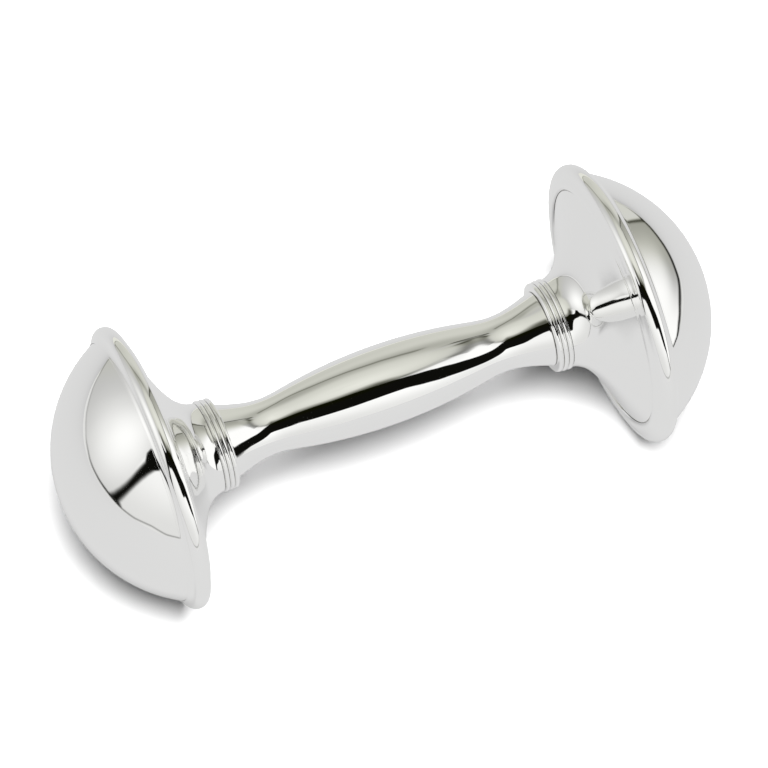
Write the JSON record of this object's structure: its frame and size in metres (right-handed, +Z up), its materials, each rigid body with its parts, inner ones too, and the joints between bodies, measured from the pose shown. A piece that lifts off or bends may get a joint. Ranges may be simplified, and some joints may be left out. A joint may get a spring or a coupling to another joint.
{
  "type": "baby rattle",
  "caption": "Polished silver dumbbell rattle: hollow mushroom heads holding loose pellets, joined by a waisted baluster handle with reeded collars.",
  "frame": {"origin": "on the surface that the rattle lies on, under the middle of the handle", "axes": "+X along the handle towards the right head, +Z up from the surface"},
  "size_m": [0.1168, 0.05, 0.05],
  "materials": {
    "silver": "polished",
    "silver_inside": "satin",
    "steel_ball": "polished"
  },
  "bodies": {
    "rattle_shell": {"handle_tube": "silver", "left_collar": "silver", "left_bell": "silver", "left_dome": "silver", "left_rim_ring": "silver", "left_neck_plug": "silver_inside", "right_collar": "silver", "right_bell": "silver", "right_dome": "silver", "right_rim_ring": "silver", "right_neck_plug": "silver_inside"},
    "left_pellet_1": {"left_pellet_1": "steel_ball"},
    "left_pellet_2": {"left_pellet_2": "steel_ball"},
    "left_pellet_3": {"left_pellet_3": "steel_ball"},
    "left_pellet_4": {"left_pellet_4": "steel_ball"},
    "left_pellet_5": {"left_pellet_5": "steel_ball"},
    "right_pellet_1": {"right_pellet_1": "steel_ball"},
    "right_pellet_2": {"right_pellet_2": "steel_ball"},
    "right_pellet_3": {"right_pellet_3": "steel_ball"},
    "right_pellet_4": {"right_pellet_4": "steel_ball"},
    "right_pellet_5": {"right_pellet_5": "steel_ball"}
  },
  "joints": [
    {"name": "left_pellet_1_roll", "type": "hinge", "parent": "rattle_shell", "child": "left_pellet_1", "pos_m": [-0.0326, -0.009, 0.025], "axis": [0, 1, 0], "range_deg": [0, 119.1]},
    {"name": "left_pellet_2_roll", "type": "hinge", "parent": "rattle_shell", "child": "left_pellet_2", "pos_m": [-0.0326, -0.0045, 0.025], "axis": [0, 1, 0], "range_deg": [0, 123.2]},
    {"name": "left_pellet_3_roll", "type": "hinge", "parent": "rattle_shell", "child": "left_pellet_3", "pos_m": [-0.0326, 0, 0.025], "axis": [0, 1, 0], "range_deg": [0, 124.4]},
    {"name": "left_pellet_4_roll", "type": "hinge", "parent": "rattle_shell", "child": "left_pellet_4", "pos_m": [-0.0326, 0.0045, 0.025], "axis": [0, 1, 0], "range_deg": [0, 123.2]},
    {"name": "left_pellet_5_roll", "type": "hinge", "parent": "rattle_shell", "child": "left_pellet_5", "pos_m": [-0.0326, 0.009, 0.025], "axis": [0, 1, 0], "range_deg": [0, 119.1]},
    {"name": "right_pellet_1_roll", "type": "hinge", "parent": "rattle_shell", "child": "right_pellet_1", "pos_m": [0.0326, -0.009, 0.025], "axis": [0, -1, 0], "range_deg": [0, 119.1]},
    {"name": "right_pellet_2_roll", "type": "hinge", "parent": "rattle_shell", "child": "right_pellet_2", "pos_m": [0.0326, -0.0045, 0.025], "axis": [0, -1, 0], "range_deg": [0, 123.2]},
    {"name": "right_pellet_3_roll", "type": "hinge", "parent": "rattle_shell", "child": "right_pellet_3", "pos_m": [0.0326, 0, 0.025], "axis": [0, -1, 0], "range_deg": [0, 124.4]},
    {"name": "right_pellet_4_roll", "type": "hinge", "parent": "rattle_shell", "child": "right_pellet_4", "pos_m": [0.0326, 0.0045, 0.025], "axis": [0, -1, 0], "range_deg": [0, 123.2]},
    {"name": "right_pellet_5_roll", "type": "hinge", "parent": "rattle_shell", "child": "right_pellet_5", "pos_m": [0.0326, 0.009, 0.025], "axis": [0, -1, 0], "range_deg": [0, 119.1]}
  ]
}
